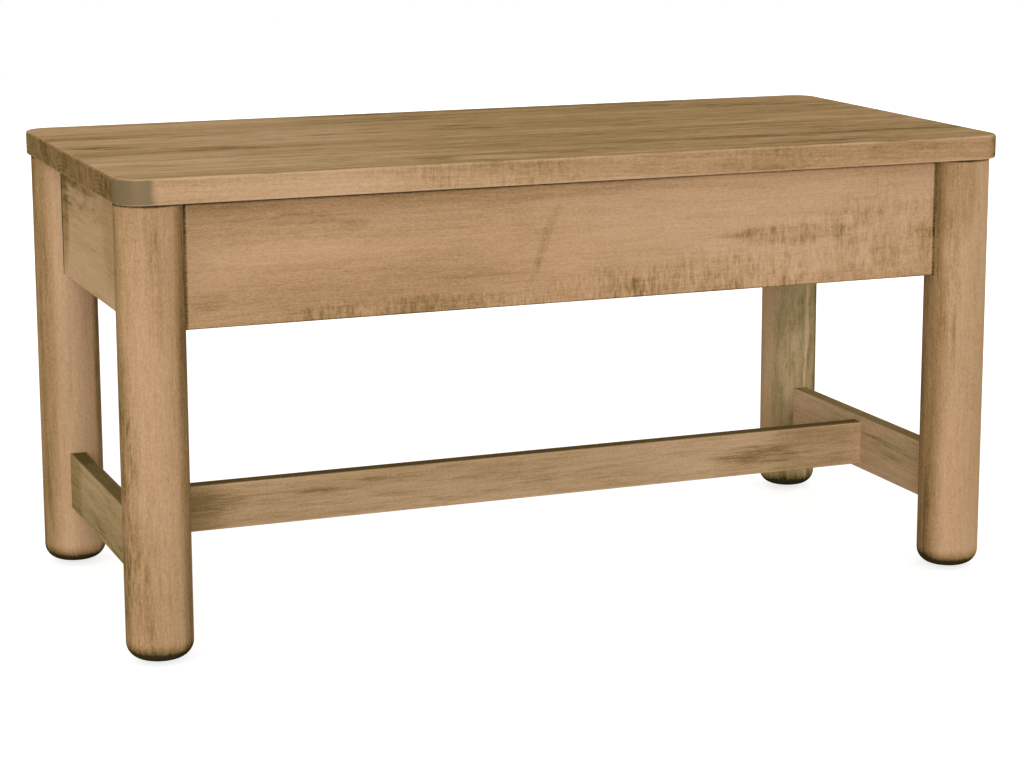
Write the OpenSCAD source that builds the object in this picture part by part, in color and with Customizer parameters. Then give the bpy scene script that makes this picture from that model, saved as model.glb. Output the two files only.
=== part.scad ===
// Bench for the foot of a bed, in solid maple. A glued-up top lies on four round legs, deep aprons
// are let into the legs, and a long stretcher ties the two end stretchers. Millimetres, +Z up,
// +X along the length and +Y to the back. The origin is on the floor under the middle of the top.

/* [Top] */
// Length of the top, end to end
top_length = 1012; // [850:1:1500]
// Depth of the top, front to back
top_depth = 482; // [440:1:650]
// Thickness of the top
top_thick = 27; // [22:0.5:40]
// Radius of the top's corners, seen from above
corner_radius = 28.5; // [12:0.5:45]
// Round along the top's upper edge
upper_round = 3.2; // [1:0.1:8]
// Round along the top's lower edge
lower_round = 2.4; // [1:0.1:8]
// Width of the board at the front of the top
front_board = 132; // [100:1:150]
// Width of the board at the back of the top
back_board = 140; // [100:1:150]
// How far the top reaches past the legs
overhang = 3; // [0:0.5:15]

/* [Legs] */
// Length of a leg, foot to top
leg_length = 475; // [380:1:700]
// Diameter of a leg
leg_diameter = 70; // [64:0.5:90]
// Round turned on the foot of a leg
foot_round = 17.5; // [5:0.5:20]

/* [Aprons] */
// Height of the aprons
apron_height = 133; // [100:1:180]
// Thickness of the aprons
apron_thick = 19; // [16:0.5:24]

/* [Stretchers] */
// Height of the end stretchers above the floor
end_stretcher_rise = 69.5; // [40:0.5:150]
// Height of an end stretcher's face
end_stretcher_height = 65; // [54:0.5:90]
// Height of the long stretcher's face
long_stretcher_height = 52; // [35:0.5:54]
// Thickness of the stretchers
stretcher_thick = 19; // [16:0.5:24]
// Round along the long edges of aprons and stretchers
edge_round = 1.5; // [0.5:0.1:3]

/* [Joints] */
// Depth of the housings cut in the round legs
housing_depth = 8; // [5:0.5:10]
// Thickness of the tenons
tenon_thick = 9.5; // [7:0.5:12]
// Shoulder above and below a tenon
tenon_shoulder = 9; // [5:0.5:12]
// Distance from an apron's upper edge down to its tenon
tenon_haunch = 24; // [10:1:40]
// Length of the end stretchers' tenons
end_tenon_length = 32; // [20:1:38]
// Length of the long stretcher's tenons
long_tenon_length = 13; // [8:0.5:14]
// Wood left between the two apron tenons inside a leg
tenon_wall = 1.5; // [1:0.5:4]
// Glue space past the end of a tenon
glue_space = 0.8; // [0.5:0.1:2]
// Clearance on each face of a tenon
fit = 0.1; // [0.05:0.05:0.3]

/* [Cross rail and corner blocks] */
// Height of the cross rail under the middle of the top
rail_height = 60; // [50:1:80]
// Thickness of the cross rail
rail_thick = 19; // [16:0.5:24]
// Depth of the housings that take the cross rail's ends
rail_housing = 6; // [3:0.5:9]
// Distance between the cross rail's screws
rail_screw_pitch = 105; // [80:1:130]
// Width of the counterbores in the cross rail
rail_counterbore = 11; // [9:0.5:13]
// Height of the corner blocks
block_height = 76; // [56:1:90]
// Thickness of the corner blocks
block_thick = 22; // [18:0.5:30]
// Space between a corner block and the leg behind it
block_gap = 2; // [1:0.5:6]
// Distance from the underside of the top down to the corner blocks
block_drop = 3; // [1:0.5:10]
// Distance between the upper and lower screws of a corner block
block_screw_pitch = 40; // [26:1:44]
// Wood left under the heads of the corner blocks' screws
block_seat = 9; // [5:0.5:10]

/* [Top buttons] */
// Length of a top button, out from the apron
button_length = 28; // [22:1:40]
// Width of a top button
button_width = 30; // [20:1:40]
// Thickness of a top button
button_thick = 19.5; // [18:0.5:23]
// Reach of a button's tongue into its slot
button_reach = 8; // [5:0.5:9]
// Bevel on a button's free lower edge
button_bevel = 4; // [1:0.5:6]
// Gap that lets a button pull the top down
button_lift = 0.4; // [0.2:0.1:0.9]
// Distance from an apron's upper edge down to the slots
slot_drop = 12; // [10:0.5:14]
// Room under a tongue in its slot
slot_play = 0.5; // [0.3:0.1:0.9]
// Room past the end of a tongue in its slot
slot_end_play = 1.5; // [0.5:0.5:3]
// Room for a button to slide along its slot
slot_slide = 6; // [2:1:16]
// Distance from a leg's axis to the nearest button on the front and back aprons
long_button_inset = 153; // [120:1:180]
// Distance from a leg's axis to the nearest button on the end aprons
end_button_inset = 133; // [110:1:150]

/* [Screws and glides] */
// Diameter of a screw's shank
screw_diameter = 4; // [3:0.1:5]
// Diameter of a screw's head
head_diameter = 8; // [6:0.1:9]
// Depth of a screw's head
head_depth = 2.6; // [2:0.1:3.5]
// Length of a screw's point
screw_point = 5; // [2:0.5:8]
// Length of the screws that hold the top
top_screw_length = 32; // [28:1:36]
// Length of the screws in the corner blocks
block_screw_length = 22; // [16:1:23]
// Clearance round a screw's head in a counterbore
counterbore_play = 0.75; // [0.25:0.25:1.5]
// Diameter of the glides under the feet
glide_diameter = 20; // [14:0.5:24]
// Thickness of the glides
glide_thick = 2.5; // [2:0.1:5]
// Round along a glide's lower edge
glide_round = 0.8; // [0.3:0.1:1.5]
// Diameter of a glide nail's head
nail_head = 5; // [4:0.1:7]
// Thickness of a glide nail's head
nail_head_thick = 0.6; // [0.4:0.1:0.8]
// Thickness of a glide over the nail's head
glide_seat = 1.2; // [1:0.1:1.4]
// Diameter of a glide nail's shank
nail_diameter = 2; // [1.5:0.1:3]
// Length of a glide nail, head to point
nail_length = 18; // [10:1:30]

/* [Hidden] */
$fn = 72;
cut = 1; // overrun of a cutting shape past the face that it opens
leg_radius = leg_diameter / 2;
leg_x = top_length / 2 - overhang - leg_radius;
leg_y = top_depth / 2 - overhang - leg_radius;
foot_z = glide_thick;
under_top = foot_z + leg_length;
apron_z = under_top - apron_height;
housing_flat = leg_radius - housing_depth; // from a leg's axis to the flat of its housings
apron_tenon_length = housing_flat - tenon_thick / 2 - tenon_wall;
long_stretcher_z = end_stretcher_rise + (end_stretcher_height - long_stretcher_height) / 2;
long_stretcher_end = leg_x - stretcher_thick / 2;
apron_face_x = leg_x - apron_thick / 2; // inner face of an end apron
apron_face_y = leg_y - apron_thick / 2; // inner face of the front and back aprons
front_seam = -top_depth / 2 + front_board;
back_seam = top_depth / 2 - back_board;
middle_seam = (front_seam + back_seam) / 2;
rail_z = under_top - rail_height;
screw_seat_z = under_top - button_thick; // face that the top's screws draw against
block_near = sqrt(2) * (leg_radius + block_gap); // a block's faces lie on x + y = near and far
block_far = block_near + sqrt(2) * block_thick;
block_screw_run = (block_near + block_far) / 2 - apron_thick / 2;
block_z = under_top - block_drop - block_height;
slot_height = button_thick - slot_drop + slot_play;
slot_length = button_width + slot_height + slot_slide;
slot_depth = button_reach + slot_end_play;
long_button_places = [for (i = [-1, -1 / 3, 1 / 3, 1]) i * (leg_x - long_button_inset)];
end_button_places = [for (side = [-1, 1]) side * (leg_y - end_button_inset)];
rail_screw_places = [for (i = [-1.5 : 1 : 1.5]) i * rail_screw_pitch];
button_screw_y = button_length / 2 + button_lift;

// Puts a shape drawn round the front left leg's axis, with +x and +y into the bench, at one corner.
module at_corner(side_x, side_y) {
    translate([side_x * leg_x, side_y * leg_y, 0])
        if (side_x > 0 && side_y > 0) rotate([0, 0, 180]) children();
        else if (side_x > 0) mirror([1, 0, 0]) children();
        else if (side_y > 0) mirror([0, 1, 0]) children();
        else children();
}

module at_every_corner() {
    for (side_x = [-1, 1], side_y = [-1, 1]) at_corner(side_x, side_y) children();
}

// Section of a bar seen along its length, standing on the x axis, with its chosen edges rounded.
module bar_section(thick, height, round_top) {
    difference() {
        translate([-thick / 2, 0]) square([thick, height]);
        for (side = [0, 1]) mirror([side, 0, 0]) translate([thick / 2, 0]) {
            edge_cut();
            if (round_top) translate([0, height]) mirror([0, 1, 0]) edge_cut();
        }
    }
}

// Waste outside the round of a section's lower right edge.
module edge_cut() {
    difference() {
        translate([-edge_round, -cut]) square([edge_round + cut, edge_round + cut]);
        translate([-edge_round, edge_round]) circle(edge_round);
    }
}

// Edge of the top seen end on: from an inner line at x = 0 out to the rounded edge at x = width.
module top_edge_section(width) {
    difference() {
        square([width, top_thick]);
        difference() {
            translate([width - upper_round, top_thick - upper_round]) square(upper_round + cut);
            translate([width - upper_round, top_thick - upper_round]) circle(upper_round);
        }
        difference() {
            translate([width - lower_round, -cut]) square([lower_round + cut, lower_round + cut]);
            translate([width - lower_round, lower_round]) circle(lower_round);
        }
    }
}

// Length of the top between two lines across its depth, with both ends rounded.
module top_strip(from_y, to_y) {
    for (side = [0, 1]) mirror([side, 0, 0])
        translate([0, to_y, 0]) rotate([90, 0, 0]) linear_extrude(to_y - from_y)
            top_edge_section(top_length / 2);
}

// Outer board of the top, drawn at the front: two round corners and a rounded front edge.
module outer_board(width) {
    straight = top_length / 2 - corner_radius;
    corner_y = -top_depth / 2 + corner_radius;
    union() {
        top_strip(corner_y, -top_depth / 2 + width);
        translate([-straight, corner_y, 0]) rotate([90, 0, 90]) linear_extrude(2 * straight)
            mirror([1, 0, 0]) top_edge_section(corner_radius);
        for (side = [0, 1]) mirror([side, 0, 0])
            translate([straight, corner_y, 0]) rotate([0, 0, -90]) rotate_extrude(angle = 90)
                top_edge_section(corner_radius);
    }
}

module top_board(place) {
    color("burlywood") difference() {
        translate([0, 0, under_top]) {
            if (place == "front") outer_board(front_board);
            if (place == "second") top_strip(front_seam, middle_seam);
            if (place == "third") top_strip(middle_seam, back_seam);
            if (place == "back") mirror([0, 1, 0]) outer_board(back_board);
        }
        button_screws_solid();
        rail_screws_solid();
    }
}

// Turned leg on the z axis, with its foot rounded.
module leg_turning() {
    rotate_extrude() difference() {
        square([leg_radius, leg_length]);
        difference() {
            translate([leg_radius - foot_round, -cut])
                square([foot_round + cut, foot_round + cut]);
            translate([leg_radius - foot_round, foot_round]) circle(foot_round);
        }
    }
}

// Housing and mortise for an apron that leaves the leg along +x.
module apron_socket() {
    translate([housing_flat, -apron_thick / 2 - fit, apron_z])
        cube([leg_radius, apron_thick + 2 * fit, apron_height + cut]);
    translate([housing_flat - apron_tenon_length - glue_space, -tenon_thick / 2 - fit,
            apron_z + tenon_shoulder - fit])
        cube([apron_tenon_length + glue_space + cut, tenon_thick + 2 * fit,
            apron_height - tenon_haunch - tenon_shoulder + 2 * fit]);
}

// Housing and mortise for an end stretcher that leaves the leg along +x.
module end_stretcher_socket() {
    translate([housing_flat, -stretcher_thick / 2 - fit, end_stretcher_rise])
        cube([leg_radius, stretcher_thick + 2 * fit, end_stretcher_height]);
    translate([housing_flat - end_tenon_length - glue_space, -tenon_thick / 2 - fit,
            end_stretcher_rise + tenon_shoulder - fit])
        cube([end_tenon_length + glue_space + cut, tenon_thick + 2 * fit,
            end_stretcher_height - 2 * tenon_shoulder + 2 * fit]);
}

module leg(side_x, side_y) {
    color("tan") at_corner(side_x, side_y) difference() {
        translate([0, 0, foot_z]) leg_turning();
        apron_socket();
        mirror([1, -1, 0]) apron_socket();
        mirror([1, -1, 0]) end_stretcher_socket();
        glide_nail();
    }
}

// Apron along the x axis, centred on the origin, between the flats of two legs that are `span`
// apart. Its inner face looks along +y.
module apron_bar(span) {
    run = span - 2 * housing_flat;
    difference() {
        union() {
            translate([-run / 2, 0, apron_z]) rotate([90, 0, 90]) linear_extrude(run)
                bar_section(apron_thick, apron_height, false);
            for (side = [0, 1]) mirror([side, 0, 0])
                translate([run / 2 - cut, -tenon_thick / 2, apron_z + tenon_shoulder])
                    cube([apron_tenon_length + cut, tenon_thick,
                        apron_height - tenon_haunch - tenon_shoulder]);
        }
        for (side = [0, 1]) mirror([side, 0, 0]) translate([-span / 2, 0, 0]) block_screws();
    }
}

// Slot for a button's tongue, with round ends as a cutter leaves them, in a face that looks
// along +y at y = 0.
module button_slot() {
    radius = slot_height / 2;
    translate([0, 0, under_top - slot_drop - radius]) rotate([90, 0, 0]) {
        for (side = [-1, 1]) translate([side * (slot_length / 2 - radius), 0, -cut])
            cylinder(h = slot_depth + cut, r = radius);
        translate([-slot_length / 2 + radius, -radius, -cut])
            cube([slot_length - slot_height, slot_height, slot_depth + cut]);
    }
}

// Front apron at its place. The back apron is the same board turned about.
module long_apron() {
    color("burlywood") difference() {
        translate([0, -leg_y, 0]) apron_bar(2 * leg_x);
        for (x = long_button_places) translate([x, -apron_face_y, 0]) button_slot();
        translate([-rail_thick / 2 - fit, -apron_face_y - rail_housing - fit, rail_z - fit])
            cube([rail_thick + 2 * fit, rail_housing + fit + cut, rail_height + fit + cut]);
    }
}

// Left apron at its place. The right apron is the same board turned about.
module end_apron() {
    color("tan") difference() {
        translate([-leg_x, 0, 0]) rotate([0, 0, -90]) apron_bar(2 * leg_y);
        for (y = end_button_places)
            translate([-apron_face_x, y, 0]) rotate([0, 0, -90]) button_slot();
    }
}

// Left end stretcher at its place, with a mortise in its inner face.
module end_stretcher() {
    run = 2 * (leg_y - housing_flat);
    color("tan") difference() {
        union() {
            translate([-leg_x, run / 2, end_stretcher_rise]) rotate([90, 0, 0])
                linear_extrude(run) bar_section(stretcher_thick, end_stretcher_height, true);
            for (side = [0, 1]) mirror([0, side, 0])
                translate([-leg_x - tenon_thick / 2, run / 2 - cut,
                        end_stretcher_rise + tenon_shoulder])
                    cube([tenon_thick, end_tenon_length + cut,
                        end_stretcher_height - 2 * tenon_shoulder]);
        }
        translate([-long_stretcher_end - long_tenon_length - glue_space, -tenon_thick / 2 - fit,
                long_stretcher_z + tenon_shoulder - fit])
            cube([long_tenon_length + glue_space + cut, tenon_thick + 2 * fit,
                long_stretcher_height - 2 * tenon_shoulder + 2 * fit]);
    }
}

module long_stretcher() {
    color("burlywood") union() {
        translate([-long_stretcher_end, 0, long_stretcher_z]) rotate([90, 0, 90])
            linear_extrude(2 * long_stretcher_end)
                bar_section(stretcher_thick, long_stretcher_height, true);
        for (side = [0, 1]) mirror([side, 0, 0])
            translate([long_stretcher_end - cut, -tenon_thick / 2,
                    long_stretcher_z + tenon_shoulder])
                cube([long_tenon_length + cut, tenon_thick,
                    long_stretcher_height - 2 * tenon_shoulder]);
    }
}

// Rail from the front apron to the back one, housed in both, with its screws counterbored.
module cross_rail() {
    reach = apron_face_y + rail_housing;
    color("wheat") difference() {
        translate([-rail_thick / 2, -reach, rail_z]) cube([rail_thick, 2 * reach, rail_height]);
        rail_screws_solid();
        for (y = rail_screw_places) translate([0, y, rail_z - cut])
            cylinder(h = screw_seat_z - rail_z + cut, d = rail_counterbore);
    }
}

// Block across the corner behind the front left leg, mitred to both aprons.
module corner_block(side_x, side_y) {
    half = apron_thick / 2;
    color("wheat") at_corner(side_x, side_y) difference() {
        translate([0, 0, block_z]) linear_extrude(block_height) polygon([
            [block_near - half, half], [block_far - half, half],
            [half, block_far - half], [half, block_near - half]
        ]);
        block_screws();
        mirror([1, -1, 0]) block_screws();
        block_counterbores();
        mirror([1, -1, 0]) block_counterbores();
    }
}

// Heights of a corner block's upper and lower screws.
function block_screw_heights() =
    [for (i = [-0.5, 0.5]) block_z + block_height / 2 + i * block_screw_pitch];

// Screws through a corner block into the apron that runs along +x from the leg's axis.
module block_screws() {
    for (z = block_screw_heights())
        translate([block_screw_run, apron_thick / 2 + block_seat, z]) rotate([90, 0, 0])
            screw(block_screw_length);
}

// Counterbores from those screws' heads out through the block's sloping face.
module block_counterbores() {
    for (z = block_screw_heights())
        translate([block_screw_run, apron_thick / 2 + block_seat, z]) rotate([-90, 0, 0])
            cylinder(h = block_far, d = head_diameter + 2 * counterbore_play);
}

// Countersunk screw along +z, with the flat of its head at z = 0.
module screw(length) {
    rotate_extrude() polygon([
        [0, 0], [head_diameter / 2, 0], [screw_diameter / 2, head_depth],
        [screw_diameter / 2, length - screw_point], [0, length]
    ]);
}

// Places for what lies along the aprons' inner faces: +y into the bench, z = 0 under the top.
module at_every_button() {
    for (back = [0, 1]) mirror([0, back, 0])
        for (x = long_button_places) translate([x, -apron_face_y, under_top]) children();
    for (right = [0, 1]) mirror([right, 0, 0])
        for (y = end_button_places)
            translate([-apron_face_x, y, under_top]) rotate([0, 0, -90]) children();
}

module button_screws_solid() {
    at_every_button() translate([0, button_screw_y, -button_thick]) screw(top_screw_length);
}

module rail_screws_solid() {
    for (y = rail_screw_places) translate([0, y, screw_seat_z]) screw(top_screw_length);
}

// Wooden button: a block under the top with a tongue that catches in the apron's slot.
module button() {
    difference() {
        translate([-button_width / 2, 0, 0]) rotate([90, 0, 90]) linear_extrude(button_width)
            polygon([
                [-button_reach, -slot_drop], [button_lift, -slot_drop],
                [button_lift, -button_lift], [button_length, -button_lift],
                [button_length, button_bevel - button_thick],
                [button_length - button_bevel, -button_thick], [-button_reach, -button_thick]
            ]);
        translate([0, button_screw_y, -button_thick]) screw(top_screw_length);
    }
}

// Nail along +z through a glide and into the foot, its head sunk in the glide.
module glide_nail() {
    translate([0, 0, glide_thick - glide_seat - nail_head_thick]) {
        cylinder(h = nail_head_thick, d = nail_head);
        cylinder(h = nail_length, d = nail_diameter);
    }
}

// Disc under the foot, with its lower edge rounded and a recess for its nail.
module glide() {
    radius = glide_diameter / 2;
    difference() {
        rotate_extrude() difference() {
            square([radius, glide_thick]);
            difference() {
                translate([radius - glide_round, -cut])
                    square([glide_round + cut, glide_round + cut]);
                translate([radius - glide_round, glide_round]) circle(glide_round);
            }
        }
        translate([0, 0, -cut]) cylinder(h = glide_thick - glide_seat + cut, d = nail_head);
        cylinder(h = glide_thick + cut, d = nail_diameter);
    }
}

top_board("front");  // top_front_board
top_board("second");  // top_second_board
top_board("third");  // top_third_board
top_board("back");  // top_back_board
leg(-1, -1);  // front_left_leg
leg(1, -1);  // front_right_leg
leg(-1, 1);  // back_left_leg
leg(1, 1);  // back_right_leg
long_apron();  // front_apron
rotate([0, 0, 180]) long_apron();  // back_apron
end_apron();  // left_apron
rotate([0, 0, 180]) end_apron();  // right_apron
end_stretcher();  // left_end_stretcher
rotate([0, 0, 180]) end_stretcher();  // right_end_stretcher
long_stretcher();
cross_rail();
corner_block(-1, -1);  // front_left_corner_block
corner_block(1, -1);  // front_right_corner_block
corner_block(-1, 1);  // back_left_corner_block
corner_block(1, 1);  // back_right_corner_block
color("silver") at_every_corner() {  // corner_block_screws
        block_screws();
        mirror([1, -1, 0]) block_screws();
    }
color("wheat") at_every_button() button();  // top_buttons
color("silver") button_screws_solid();  // top_button_screws
color("silver") rail_screws_solid();  // cross_rail_screws
color("saddlebrown") at_every_corner() glide();  // glides
color("silver") at_every_corner() glide_nail();  // glide_nails
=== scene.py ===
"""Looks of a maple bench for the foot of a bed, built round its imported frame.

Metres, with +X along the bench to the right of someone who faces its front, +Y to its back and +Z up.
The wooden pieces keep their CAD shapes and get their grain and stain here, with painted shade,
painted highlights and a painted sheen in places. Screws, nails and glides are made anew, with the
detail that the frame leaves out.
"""

import logging
import math
from collections.abc import Callable
from dataclasses import dataclass, replace
from enum import Enum
from functools import partial

import bmesh
import bpy
from mathutils import Matrix, Vector


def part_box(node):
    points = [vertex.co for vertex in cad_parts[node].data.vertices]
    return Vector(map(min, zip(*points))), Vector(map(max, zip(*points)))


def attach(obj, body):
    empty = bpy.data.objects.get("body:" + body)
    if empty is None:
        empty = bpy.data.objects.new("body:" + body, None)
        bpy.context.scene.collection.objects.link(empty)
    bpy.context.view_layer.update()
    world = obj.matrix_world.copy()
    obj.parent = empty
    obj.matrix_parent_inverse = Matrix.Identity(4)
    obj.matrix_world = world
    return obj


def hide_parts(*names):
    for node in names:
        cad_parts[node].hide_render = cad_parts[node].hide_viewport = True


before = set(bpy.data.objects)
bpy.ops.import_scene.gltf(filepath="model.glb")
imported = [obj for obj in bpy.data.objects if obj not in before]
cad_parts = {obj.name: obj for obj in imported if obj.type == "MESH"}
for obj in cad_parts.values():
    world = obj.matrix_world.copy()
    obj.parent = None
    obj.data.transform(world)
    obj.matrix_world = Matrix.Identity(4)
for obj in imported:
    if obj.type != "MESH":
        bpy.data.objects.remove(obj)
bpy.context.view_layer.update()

log = logging.getLogger("bench")

BODY = "root"

# Points this close count as one: in a turned solid, in a CAD node and at the end of a solid.
TURN_WELD = 1e-7
CAD_WELD = 1e-6
NEAR = 1e-4

Colour = tuple[float, float, float]
Triple = tuple[float, float, float]
Pair = tuple[float, float]
Stops = list[tuple[float, Colour]]
Box = tuple[Vector, Vector]
Socket = bpy.types.NodeSocket
Mesh = bpy.types.Mesh
Solid = bmesh.types.BMesh


def stain(*parts: int) -> Colour:
    """Turns a colour as a screen shows it, parts of 0 to 255, into the linear one that a shader takes."""
    shares = (part / 255 for part in parts)
    return tuple(share / 12.92 if share <= 0.04045 else ((share + 0.055) / 1.055) ** 2.4 for share in shares)


def operator(operation: str, swapped: bool = False) -> Callable[..., "Value"]:
    """Makes a method of Value that adds a Math node.

    Args:
        operation: What the node does.
        swapped: Whether the number itself comes second.

    Returns:
        The method. It takes the other number, where the operation needs one.
    """

    def apply(number: "Value", other: "Value | float" = 0.0) -> "Value":
        """Adds the node, and gives its result."""
        sockets = {0: other, 1: number} if swapped else {0: number, 1: other}
        return number.nodes.value("ShaderNodeMath", {"operation": operation}, sockets)

    return apply


class Value:
    """A number that varies over a surface, so that shader maths reads as plain sums.

    root, size and part give its square root, the number without its sign and what is left over a
    whole number. least and most give the smaller and the larger of it and another.
    """

    __add__ = operator("ADD")
    __radd__ = operator("ADD", swapped=True)
    __sub__ = operator("SUBTRACT")
    __rsub__ = operator("SUBTRACT", swapped=True)
    __mul__ = operator("MULTIPLY")
    __rmul__ = operator("MULTIPLY", swapped=True)
    __pow__ = operator("POWER")
    root = operator("SQRT")
    size = operator("ABSOLUTE")
    part = operator("FRACT")
    least = operator("MINIMUM")
    most = operator("MAXIMUM")

    def __init__(self, nodes: "Nodes", socket: Socket) -> None:
        """Keeps the socket that carries the number, and the nodes that it belongs to."""
        self.nodes = nodes
        self.socket = socket

    def rise(self, start: float, end: float) -> "Value":
        """Goes smoothly from 0, where the number is start, to 1, where it is end."""
        sockets = {"Value": self, "From Min": start, "From Max": end}
        return self.nodes.value("ShaderNodeMapRange", {"interpolation_type": "SMOOTHSTEP"}, sockets)


class Nodes:
    """Node tree of a material or of the world."""

    def __init__(self, tree: bpy.types.NodeTree) -> None:
        """Empties the tree."""
        self.tree = tree
        self.tree.nodes.clear()

    def node(self, kind: str, settings: dict, sockets: dict) -> bpy.types.Node:
        """Adds a node.

        Args:
            kind: The node's type.
            settings: Its properties, set first. A ramp's stops go by the name of stops.
            sockets: What each input takes, by name or place: a Value, another node's socket or a constant.

        Returns:
            The node.
        """
        node = self.tree.nodes.new(kind)
        for name, setting in settings.items():
            if name == "stops":
                self.set_stops(node.color_ramp, setting)
            else:
                setattr(node, name, setting)
        for name, given in sockets.items():
            if isinstance(given, Value):
                given = given.socket
            if isinstance(given, Socket):
                self.tree.links.new(given, node.inputs[name])
            else:
                node.inputs[name].default_value = given
        return node

    @staticmethod
    def set_stops(ramp: bpy.types.ColorRamp, stops: Stops) -> None:
        """Gives a ramp its stops.

        Args:
            ramp: The ramp, as Blender makes it.
            stops: Place and linear colour of each stop, in rising order.
        """
        ramp.elements.remove(ramp.elements[1])
        for index, (place, colour) in enumerate(stops):
            stop = ramp.elements.new(place) if index else ramp.elements[0]
            stop.position = place
            stop.color = (*colour, 1.0)

    def value(self, kind: str, settings: dict, sockets: dict) -> Value:
        """Adds a node as node() does, and wraps its first result."""
        return Value(self, self.node(kind, settings, sockets).outputs[0])

    def seen(self) -> Value:
        """Tells a ray from the camera, or one mirrored or let through, from the rest.

        Returns:
            1 for such a ray.
        """
        path = self.node("ShaderNodeLightPath", {}, {}).outputs
        seen = Value(self, path["Is Camera Ray"])
        for name in ("Is Glossy Ray", "Is Transmission Ray"):
            seen = seen.most(Value(self, path[name]))
        return seen


# How far a surface has to face a way, from where it starts to count to where it counts fully: along
# the grain as an end, through the board as a face, up and down.
END_SLOPE = (0.25, 0.75)
FACE_SLOPE = (0.3, 0.9)
UP_SLOPE = (0.5, 0.9)
DOWN_SLOPE = (0.6, 0.95)

# A layer's shift moves its noise along Y by this much more than along X.
SHIFT_SKEW = 1.7


@dataclass(frozen=True)
class Layer:
    """Smooth noise of one kind, about 0 unless it says otherwise.

    fineness is how many lumps a metre holds, along each axis or along a board's grain, across its
    face and through it. shift tells the layer from others. window is the stretch of the noise that
    becomes 0 to 1, and middle what is taken off where there is no window.
    """

    fineness: Triple
    shift: float
    detail: float = 2.0
    roughness: float = 0.5
    window: Pair | None = None
    middle: float = 0.5


class Shader(Nodes):
    """Node tree of one finish, with a Principled BSDF at its end."""

    def __init__(self, name: str) -> None:
        """Starts an empty material.

        Args:
            name: The material's name.
        """
        self.material = bpy.data.materials.new(name)
        self.material.use_nodes = True
        super().__init__(self.material.node_tree)
        self.surface = self.node("ShaderNodeBsdfPrincipled", {}, {})
        self.output = self.node("ShaderNodeOutputMaterial", {}, {"Surface": self.surface.outputs["BSDF"]})
        here = self.node("ShaderNodeTexCoord", {}, {}).outputs
        self.here = here["Object"]
        self.facing = self.parts(here["Normal"])

    def parts(self, vector: Socket) -> list[Value]:
        """Splits a vector into its three numbers."""
        outputs = self.node("ShaderNodeSeparateXYZ", {}, {0: vector}).outputs
        return [Value(self, output) for output in outputs]

    def vector(self, x: Value | float, y: Value | float, z: Value | float) -> Socket:
        """Joins three numbers into a vector."""
        return self.node("ShaderNodeCombineXYZ", {}, {0: x, 1: y, 2: z}).outputs[0]

    def turned_down(self) -> Value:
        """1 where the surface looks down, and 0 where it stands upright or looks up."""
        return (self.facing[2] * -1.0).rise(*DOWN_SLOPE)

    def noise(self, layer: Layer, place: Socket, seed: float = 0.0) -> Value:
        """Makes the noise of a layer.

        Args:
            layer: The layer.
            place: Where on the piece, or in the rings of a board.
            seed: Moves the noise, so that two pieces differ.

        Returns:
            The noise, through the layer's window or less its middle.
        """
        shift = seed + layer.shift
        move = {"Vector": place, "Location": (shift, shift * SHIFT_SKEW, -shift), "Scale": layer.fineness}
        moved = self.node("ShaderNodeMapping", {}, move).outputs[0]
        octaves = {"Vector": moved, "Scale": 1.0, "Detail": layer.detail, "Roughness": layer.roughness}
        noise = self.value("ShaderNodeTexNoise", {}, octaves)
        return noise.rise(*layer.window) if layer.window else noise - layer.middle

    def ramp(self, value: Value, stops: Stops) -> Socket:
        """Gives the colour of a number, between those of the stops about it."""
        return self.node("ShaderNodeValToRGB", {"stops": stops}, {"Fac": value}).outputs["Color"]

    def tint(self, colour: Socket, other: Colour, share: Value | float, blend: str = "MULTIPLY") -> Socket:
        """Mixes a share of another colour into one."""
        sockets = {"Factor": share, 6: colour, 7: (*other, 1.0)}
        return self.node("ShaderNodeMix", {"data_type": "RGBA", "blend_type": blend}, sockets).outputs[2]

    def bump(self, height: Value, strength: float, distance: float) -> Socket:
        """Turns a height into slopes of the surface."""
        sockets = {"Strength": strength, "Distance": distance, "Height": height}
        return self.node("ShaderNodeBump", {}, sockets).outputs[0]

    def finish(self, piece: bpy.types.Object, varying: dict[str, Value | Socket], steady: dict) -> None:
        """Joins the surface's inputs up and makes this the piece's only material.

        Args:
            piece: The piece.
            varying: What each of the surface's inputs that varies takes.
            steady: The number or colour of each input that doesn't.
        """
        for name, given in varying.items():
            socket = given.socket if isinstance(given, Value) else given
            self.tree.links.new(socket, self.surface.inputs[name])
        for name, constant in steady.items():
            self.surface.inputs[name].default_value = constant
        piece.data.materials.clear()
        piece.data.materials.append(self.material)


class Grain(Enum):
    """Axes of a board: along its grain, across its face and through its thickness."""

    FLAT = (0, 1, 2)
    UPRIGHT = (0, 2, 1)
    END_FLAT = (1, 0, 2)
    END_UPRIGHT = (1, 2, 0)
    POST = (2, 0, 1)


class Effect(Enum):
    """What a mark on a board does."""

    SMEAR = "soaks up more stain, in streaks"
    # Some of these marks are painted shade: along the legs' left and right sides, at the front right leg's head and
    # over the front apron's left half.
    SHADE = "is darker throughout"
    # The pale mark on the front apron's right half is painted light.
    PALE = "takes less stain"
    # This effect paints sheen: a grey patch that stands in for a reflection.
    GREY = "is smooth and grey"
    CURL = "shows bars across the grain"
    SWIRL = "bends the rings"
    # This effect holds a joint's dark glaze and also paints shade: under the top's edge, in the creases beside the
    # legs, along the aprons' lower arris and round the feet.
    SEAM = "holds the dark glaze of a joint"
    OLIVE = "is tinted olive"


@dataclass(frozen=True)
class Wander:
    """How far a mark's outline strays with the warp of the grain, in metres for each unit of it.

    warp_along and warp_across go with the grain's slow warp, and ripple_across with its ripple.
    """

    warp_along: float = 0.0
    warp_across: float = 0.0
    ripple_across: float = 0.0


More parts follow.
